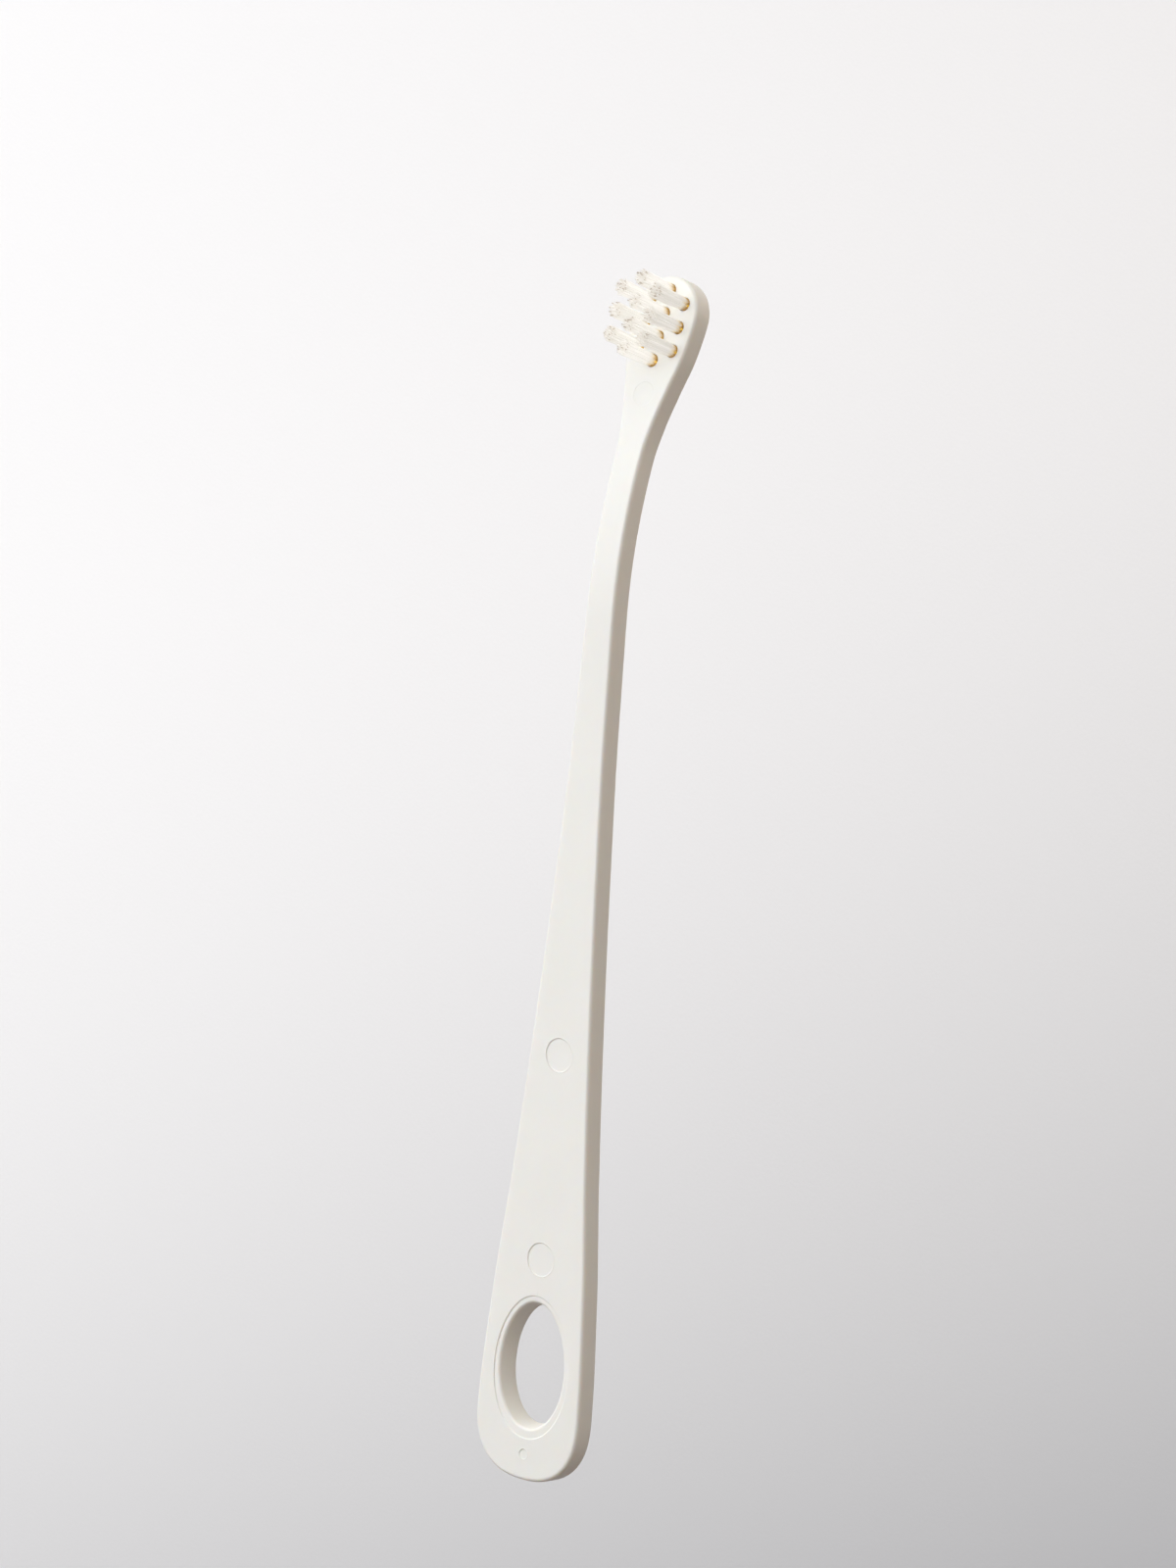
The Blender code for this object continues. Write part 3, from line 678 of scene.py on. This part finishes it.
def strand_feet(chance):
    """Places of the strands in a round bundle: the points of a lattice of equal triangles nearest
    to its middle, each moved a little at random."""
    reach = np.arange(-lattice_reach, lattice_reach + 1)
    i, j = np.meshgrid(reach, reach)
    lattice = np.stack(((i + j / 2).ravel(), (j * np.sqrt(3) / 2).ravel()), axis=-1) * strand_spacing
    lattice += chance.uniform(-0.25, 0.25, 2) * strand_spacing
    turn = chance.uniform(0, np.pi)
    lattice = lattice @ np.array(((np.cos(turn), np.sin(turn)), (-np.sin(turn), np.cos(turn))))
    nearest = np.argsort(np.linalg.norm(lattice, axis=1), kind="stable")[:strand_count]
    return lattice[nearest] + chance.normal(0, strand_jitter, (strand_count, 2))


def strand_paths(chance):
    """Middle lines of a tuft's strands, their heights, and a random number for each strand. A line
    runs up from the fold under the anchor, beside the anchor, and closes over it at the face; then
    it spreads from the bundle's middle by a growing share and wanders by a random curve."""
    feet = strand_feet(chance)
    across, along = feet[:, 0], feet[:, 1]
    side = np.where(across < 0, -1.0, 1.0)
    bundle = np.abs(across).max()
    beside = side * (anchor_gap + (bundle - anchor_gap) * np.abs(across) / bundle)
    fold = fold_level - fold_depth * np.abs(across) / bundle
    top = bristle_length + chance.uniform(-tip_unevenness, tip_unevenness, strand_count)
    wander = chance.normal(0, tip_wander, (strand_count, 2))
    bow = chance.normal(0, middle_bow, (strand_count, 2))
    number = chance.uniform(0, 1, strand_count)

    below_tip = np.array(tip_rounding)[:, :1]
    level = np.array(held_levels + free_levels)
    rise = np.concatenate((np.stack((fold, fold + fold_bend)),
                           np.repeat(level[:, None], strand_count, axis=1), top - below_tip))
    above_anchor = len(free_levels) + len(tip_rounding)
    middle = np.concatenate((np.stack((side * fold_middle, beside * fold_flank, beside, beside)),
                             np.repeat(across[None], above_anchor, axis=0)))
    middle = np.stack((middle, np.broadcast_to(along, middle.shape)), axis=-1)
    share = np.clip(rise / bristle_length, 0, 1)[..., None]
    spread = 1 + (tip_splay - 1) * share
    plan = middle * spread + wander * share ** wander_power + bow * 4 * share * (1 - share)
    return np.concatenate((plan, rise[..., None]), axis=-1), rise, number


def over_hole(points, place):
    """Points drawn round a hole's middle with the anchor along Y, turned with the anchor and moved
    to the hole's place: x cos t - y sin t and x sin t + y cos t, each with the place added."""
    turn = np.radians(anchor_turn)
    x, y, z = np.moveaxis(points, -1, 0)
    return np.stack((x * np.cos(turn) - y * np.sin(turn) + place[0],
                     x * np.sin(turn) + y * np.cos(turn) + place[1], z), axis=-1)


def tuft_mesh(name, place, chance):
    """Mesh of a tuft: a ring of points stands square to each strand's middle line at each height,
    and the rings close at a pole at the foot and at the tip. Each point keeps its rise above the
    face in mm and its strand's random number."""
    path, rise, number = strand_paths(chance)
    heading = np.gradient(path, axis=0)
    heading /= np.linalg.norm(heading, axis=-1, keepdims=True)
    first = np.cross(np.array((0.0, 1.0, 0.0)), heading)
    first /= np.linalg.norm(first, axis=-1, keepdims=True)
    second = np.cross(heading, first)
    angle = (2 * np.pi * np.arange(strand_sides) / strand_sides)[:, None]
    tip_share = np.array(tip_rounding)[:, 1]
    radius = strand_diameter / 2 * np.concatenate((np.ones(len(path) - len(tip_share)), tip_share))
    rings = (path[:, :, None] + radius[:, None, None, None]
             * (first[:, :, None] * np.cos(angle) + second[:, :, None] * np.sin(angle)))[:-1]
    points = np.concatenate((path[0], rings.reshape(-1, 3), path[-1]))

    foot = np.arange(strand_count)
    here = strand_count + np.arange(rings[..., 0].size).reshape(rings.shape[:3])
    tip = strand_count + here.size + foot
    next_side = np.roll(here, -1, axis=2)
    quads = np.stack((here[:-1], next_side[:-1], next_side[1:], here[1:]), axis=-1)
    low = np.stack((np.broadcast_to(foot[:, None], here[0].shape), next_side[0], here[0]), axis=-1)
    high = np.stack((np.broadcast_to(tip[:, None], here[0].shape), here[-1], next_side[-1]), axis=-1)
    faces = quads.reshape(-1, 4).tolist() + low.reshape(-1, 3).tolist() + high.reshape(-1, 3).tolist()
    mesh = closed_mesh(name, resting(over_hole(points, place)), faces, 0)
    rise_there = np.broadcast_to(rise[:-1, :, None], here.shape).ravel()
    number_there = np.broadcast_to(number[None, :, None], here.shape).ravel()
    for label, values in (("rise", (rise[0], rise_there, rise[-1])),
                          ("strand", (number, number_there, number))):
        layer = mesh.attributes.new(label, "FLOAT", "POINT")
        layer.data.foreach_set("value", np.concatenate(values).astype(np.float32))
    mesh.shade_smooth()
    return mesh


def other_number(tree, number, factor):
    """Socket with another random number for each strand: what is left after the point of its own
    number times a factor."""
    grown = add_node(tree, "ShaderNodeMath", {0: number, 1: factor}, operation="MULTIPLY")
    left = add_node(tree, "ShaderNodeMath", {0: grown.outputs["Value"]}, operation="FRACT")
    return left.outputs["Value"]


# Clear nylon filament: bright and milky in a bundle, with each strand a little greyer or whiter.
# A gold glow just above the face and a pale haze for a millimetre or two more are a painted
# reflection of the brass anchor in the clear strands. Their ends are tan where they were cut and rounded.
nylon, tree = new_material("clear_nylon_filament")
rise = add_node(tree, "ShaderNodeAttribute", attribute_name="rise").outputs["Fac"]
number = add_node(tree, "ShaderNodeAttribute", attribute_name="strand").outputs["Fac"]
tone = add_node(tree, "ShaderNodeMix", {"Factor": number, "A": linear(nylon_grey),
                                        "B": linear(nylon_white)}, data_type="RGBA")
painted_brass_glow = add_node(tree, "ShaderNodeMix", {"Factor": other_number(tree, number, painted_brass_shuffle),
                                        "A": linear(painted_brass_dark),
                                        "B": linear(painted_brass_bright)}, data_type="RGBA")
# Painted reflection of the brass: a pale haze, then a gold glow nearest the face
for reach, colour in ((painted_haze_reach, linear(painted_brass_haze)), (painted_glow_reach, painted_brass_glow.outputs["Result"])):
    top = add_node(tree, "ShaderNodeMapRange", {"Value": number, "To Min": reach[0], "To Max": reach[1]})
    painted_brass_share = add_node(tree, "ShaderNodeMapRange", {"Value": rise, "From Max": top.outputs["Result"],
                                                   "To Min": 1.0, "To Max": 0.0},
                      interpolation_type="SMOOTHSTEP")
    tone = add_node(tree, "ShaderNodeMix", {"Factor": painted_brass_share.outputs["Result"],
                                            "A": tone.outputs["Result"], "B": colour}, data_type="RGBA")
cut_number = other_number(tree, number, cut_shuffle)
tan_height = add_node(tree, "ShaderNodeMapRange", {"Value": rise, "From Min": tan_start,
                                                   "From Max": bristle_length},
                      interpolation_type="SMOOTHSTEP")
tan_strand = add_node(tree, "ShaderNodeMapRange", {"Value": cut_number, "From Min": tan_numbers[0],
                                                   "From Max": tan_numbers[1]})
tan_share = add_node(tree, "ShaderNodeMath", {0: tan_height.outputs["Result"],
                                              1: tan_strand.outputs["Result"]}, operation="MULTIPLY")
dark_height = add_node(tree, "ShaderNodeMapRange", {"Value": rise, "From Min": dark_start,
                                                    "From Max": bristle_length})
dark_strand = add_node(tree, "ShaderNodeMath", {0: cut_number, 1: dark_number},
                       operation="GREATER_THAN")
dark_share = add_node(tree, "ShaderNodeMath", {0: dark_strand.outputs["Value"],
                                               1: dark_height.outputs["Result"]}, operation="MULTIPLY")
cut_tone = add_node(tree, "ShaderNodeMix", {"Factor": dark_share.outputs["Value"],
                                            "A": linear(cut_tan),
                                            "B": linear(cut_dark)}, data_type="RGBA")
ended = add_node(tree, "ShaderNodeMix", {"Factor": tan_share.outputs["Value"],
                                         "A": tone.outputs["Result"],
                                         "B": cut_tone.outputs["Result"]}, data_type="RGBA")
shader = add_node(tree, "ShaderNodeBsdfPrincipled", {"Base Color": ended.outputs["Result"],
                                                     "Roughness": 0.38, "IOR": 1.53})
through = add_node(tree, "ShaderNodeBsdfTranslucent", {"Color": ended.outputs["Result"]})
clear = add_node(tree, "ShaderNodeMixShader", {0: 0.8, 1: shader.outputs["BSDF"],
                                               2: through.outputs["BSDF"]})
add_node(tree, "ShaderNodeOutputMaterial", {"Surface": clear.outputs["Shader"]})

chance = np.random.default_rng(strand_seed)
for name, where in tuft_places.items():
    tuft = new_piece(f"bristles_{name}", tuft_mesh(f"bristles_{name}", where, chance))
    tuft.data.materials.append(nylon)
    for lamp_name, _, columns in key_parts:
        if name.startswith(columns):
            clear_columns[lamp_name].objects.link(tuft)
    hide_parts(f"tuft_{name}")
    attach(tuft, "root")
# The tufts in a lamp's collection are left out of what stops its light, and all else stops it
for column in clear_columns.values():
    for member in column.collection_objects:
        member.light_linking.link_state = "EXCLUDE"


# Anchors. Each is a small plate sheared from hard brass strip, which holds a folded bundle down in
# its hole and bites into both walls, so that its two ends show at the foot of the tuft. All its
# lengths are in mm.
anchor_length, anchor_thickness = 2.1, 0.3
anchor_top, anchor_foot = -0.14, -1.75
anchor_edge, anchor_edge_rows = 0.04, 4
anchor_corners = 64
anchor_power = 0.12                   # the lower it is, the squarer are the plate's corners
anchor_sharp_angle = 50.0             # degrees
shear_size = 0.06                     # mm between the lines, coarser than real ones
shear_stretch = 0.12                  # a line's width as a share of its length
brass_bright = "#D6B24A"
brass_dark = "#A58430"


def anchor_mesh(name, place):
    """Plate with rounded edges: rings with x = a sign(sin t) |sin t|^p and y = b sign(cos t)
    |cos t|^p for a low power p, which shrink by a quarter circle toward the top and the foot and
    close there at a pole."""
    angle = np.linspace(0, 2 * np.pi, anchor_corners + 1)
    cos, sin = np.cos(angle), np.sin(angle)
    wide = np.sign(cos) * np.abs(cos) ** anchor_power
    thick = np.sign(sin) * np.abs(sin) ** anchor_power
    inward, down = rounded(anchor_edge, anchor_edge_rows)
    inward = np.concatenate((inward, inward[::-1]))[:, None]
    depth = np.concatenate((anchor_top - down, anchor_foot + down[::-1]))
    rings = np.stack((thick * (anchor_thickness / 2 - inward), wide * (anchor_length / 2 - inward),
                      np.broadcast_to(depth[:, None], (len(depth), len(angle)))), axis=-1)
    poles = [np.broadcast_to(np.array((0, 0, end)), rings[:1].shape) for end in (anchor_top, anchor_foot)]
    rings = np.concatenate((poles[0], rings, poles[1]))
    mesh = mesh_of_grids(name, [resting(over_hole(rings, place))], weld * mm)
    mesh.shade_smooth()
    mesh.set_sharp_from_angle(angle=np.radians(anchor_sharp_angle))
    return mesh


# Sheared brass strip: a bright yellow metal with fine upright shear lines across its edges.
brass, tree = new_material("sheared_brass_strip")
coords = add_node(tree, "ShaderNodeTexCoord")
stretch = add_node(tree, "ShaderNodeMapping", {"Vector": coords.outputs["Object"],
                                               "Scale": (1.0, 1.0, shear_stretch)})
lines = add_node(tree, "ShaderNodeTexNoise", {"Vector": stretch.outputs["Vector"],
                                              "Scale": 1 / (shear_size * mm), "Detail": 2.0})
tone = add_node(tree, "ShaderNodeMix", {"Factor": lines.outputs["Fac"], "A": linear(brass_dark),
                                        "B": linear(brass_bright)}, data_type="RGBA")
rough = add_node(tree, "ShaderNodeMapRange", {"Value": lines.outputs["Fac"], "To Min": 0.24,
                                              "To Max": 0.42})
shader = add_node(tree, "ShaderNodeBsdfPrincipled", {"Base Color": tone.outputs["Result"],
                                                     "Roughness": rough.outputs["Result"],
                                                     "Metallic": 1.0})
add_node(tree, "ShaderNodeOutputMaterial", {"Surface": shader.outputs["BSDF"]})

for name, where in tuft_places.items():
    anchor = new_piece(f"brass_anchor_{name}", anchor_mesh(f"brass_anchor_{name}", where))
    anchor.data.materials.append(brass)
    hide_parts(f"anchor_{name}")
    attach(anchor, "root")
